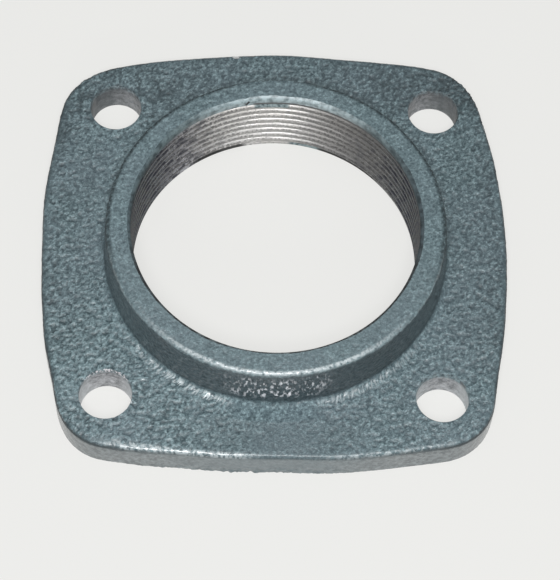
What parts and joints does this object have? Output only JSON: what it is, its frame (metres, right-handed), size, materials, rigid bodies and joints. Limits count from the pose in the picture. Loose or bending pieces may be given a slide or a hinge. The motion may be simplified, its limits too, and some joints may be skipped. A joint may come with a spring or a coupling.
{
  "type": "square threaded flange",
  "caption": "Square cast-iron pipe flange with bowed sides, a round threaded boss in the middle and a bolt hole near each corner.",
  "frame": {"origin": "middle of the mounting face, which is the plate's underside, on the axis of the bore", "axes": "+Z along the bore from the mounting face up through the boss; the plate's sides face along X and Y"},
  "size_m": [0.1204, 0.1204, 0.0235],
  "materials": {
    "painted_casting": "grey-green paint over a coarse sand-cast skin; bore thread, bolt holes and mounting face bare machined iron"
  },
  "bodies": {
    "root": {"flange_casting": "painted_casting"}
  },
  "joints": []
}
